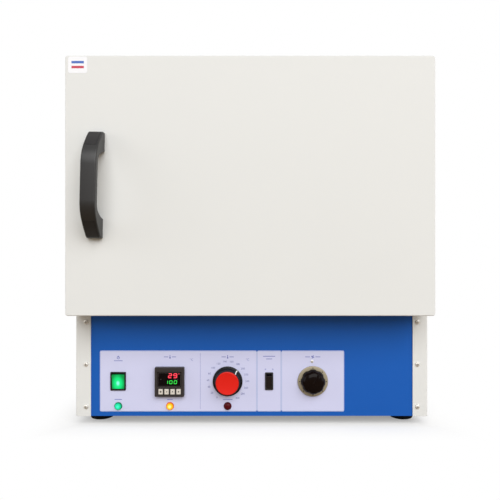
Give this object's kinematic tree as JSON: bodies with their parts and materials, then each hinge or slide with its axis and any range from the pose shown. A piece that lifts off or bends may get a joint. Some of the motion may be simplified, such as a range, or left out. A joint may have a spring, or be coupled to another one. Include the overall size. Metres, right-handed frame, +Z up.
{
  "type": "dry heat sterilizer",
  "caption": "Bench-top dry heat sterilizer: insulated steel cabinet with a side-hinged door, wire shelves, a rear circulating fan and a control panel below the door.",
  "frame": {"origin": "middle of the bounding box in x and y, at the level of the bench that the rubber feet stand on", "axes": "+Z up, the door and the control panel face -Y, +X to the right of someone facing the front"},
  "size_m": [0.5878, 0.5882, 0.591],
  "materials": {
    "cream_paint": "cream-white powder coat, satin",
    "blue_paint": "bright blue powder coat, satin",
    "label_print": "pale lilac printed polycarbonate film",
    "stainless": "brushed stainless sheet",
    "chrome_wire": "bright plated wire and screws",
    "zinc_steel": "zinc-plated steel",
    "mineral_wool": "loose mineral wool slab",
    "black_nylon": "fine-grained black nylon",
    "black_gloss": "polished black plastic",
    "red_plastic": "bright red moulded plastic",
    "green_lens": "lit green lens",
    "amber_lens": "lit amber lens",
    "dark_red_lens": "unlit red lens",
    "dial_metal": "champagne anodised dial ring",
    "key_rubber": "pale rubber keys",
    "display_window": "dark smoked window",
    "rubber_black": "moulded black rubber",
    "silicone_red": "red-brown silicone",
    "catch_magnet": "dark magnet block"
  },
  "bodies": {
    "cabinet": {"outer_shell": "cream_paint", "base_tray": "zinc_steel", "front_left_foot": "rubber_black", "front_right_foot": "rubber_black", "rear_left_foot": "rubber_black", "rear_right_foot": "rubber_black", "rear_panel": "cream_paint", "fascia_panel": "blue_paint", "lower_left_screw": "chrome_wire", "middle_left_screw": "chrome_wire", "upper_left_screw": "chrome_wire", "lower_right_screw": "chrome_wire", "middle_right_screw": "chrome_wire", "upper_right_screw": "chrome_wire", "control_label": "label_print", "power_switch_body": "black_nylon", "mode_switch_body": "black_nylon", "controller_case": "black_nylon", "controller_window": "display_window", "thermostat_body": "black_nylon", "fan_regulator": "black_nylon", "fan_dial": "dial_metal", "power_lamp": "green_lens", "heat_lamp": "amber_lens", "limit_lamp": "dark_red_lens", "heating_element": "stainless", "chamber_frame": "stainless", "chamber_liner": "stainless", "chamber_back": "stainless", "insulation_jacket": "mineral_wool", "air_baffle": "stainless", "fan_motor": "zinc_steel", "left_runner": "stainless", "right_runner": "stainless", "lower_shelf": "chrome_wire", "upper_shelf": "chrome_wire", "sensor_set": "stainless", "vent_pipe": "stainless", "cable_gland": "black_nylon", "door_catch": "catch_magnet", "lower_hinge": "zinc_steel", "upper_hinge": "zinc_steel"},
    "door": {"door_shell": "cream_paint", "door_insulation": "mineral_wool", "door_liner": "stainless", "door_seal": "silicone_red", "door_handle": "black_nylon", "upper_handle_cap": "black_nylon", "lower_handle_cap": "black_nylon"},
    "power_rocker": {"power_rocker": "green_lens"},
    "mode_rocker": {"mode_rocker": "black_gloss"},
    "page_key": {"page_key": "key_rubber"},
    "down_key": {"down_key": "key_rubber"},
    "up_key": {"up_key": "key_rubber"},
    "set_key": {"set_key": "key_rubber"},
    "thermostat_knob": {"thermostat_knob": "black_nylon", "thermostat_cap": "red_plastic"},
    "fan_knob": {"fan_knob": "black_gloss"},
    "fan_impeller": {"fan_impeller": "zinc_steel"},
    "vent_damper": {"vent_damper": "black_nylon"}
  },
  "joints": [
    {"name": "door_hinge", "type": "hinge", "parent": "cabinet", "child": "door", "pos_m": [0.2889, -0.19275, 0.3865], "axis": [0, 0, 1], "range_deg": [0, 180]},
    {"name": "power_rocker_tilt", "type": "hinge", "parent": "cabinet", "child": "power_rocker", "pos_m": [-0.2247, -0.18495, 0.0727], "axis": [1, 0, 0], "range_deg": [-18, 0]},
    {"name": "mode_rocker_tilt", "type": "hinge", "parent": "cabinet", "child": "mode_rocker", "pos_m": [0.0231, -0.18495, 0.0727], "axis": [1, 0, 0], "range_deg": [-18, 0]},
    {"name": "page_key_press", "type": "slide", "parent": "cabinet", "child": "page_key", "axis": [0, 1, 0], "range_m": [0, 0.0005], "stiffness_N_per_m": 400},
    {"name": "down_key_press", "type": "slide", "parent": "cabinet", "child": "down_key", "axis": [0, 1, 0], "range_m": [0, 0.0005], "stiffness_N_per_m": 400},
    {"name": "up_key_press", "type": "slide", "parent": "cabinet", "child": "up_key", "axis": [0, 1, 0], "range_m": [0, 0.0005], "stiffness_N_per_m": 400},
    {"name": "set_key_press", "type": "slide", "parent": "cabinet", "child": "set_key", "axis": [0, 1, 0], "range_m": [0, 0.0005], "stiffness_N_per_m": 400},
    {"name": "thermostat_turn", "type": "hinge", "parent": "cabinet", "child": "thermostat_knob", "pos_m": [-0.045, -0.1886, 0.0727], "axis": [0, 1, 0], "range_deg": [-193.5, 103.5]},
    {"name": "fan_knob_turn", "type": "hinge", "parent": "cabinet", "child": "fan_knob", "pos_m": [0.09475, -0.1886, 0.0727], "axis": [0, 1, 0], "range_deg": [-165, 105]},
    {"name": "fan_spin", "type": "hinge", "parent": "cabinet", "child": "fan_impeller", "pos_m": [-0.0054, 0.17, 0.388], "axis": [0, 1, 0], "continuous": true},
    {"name": "vent_damper_swing", "type": "hinge", "parent": "cabinet", "child": "vent_damper", "pos_m": [0.1386, 0.27885, 0.506], "axis": [0, 1, 0], "range_deg": [0, 90]}
  ]
}
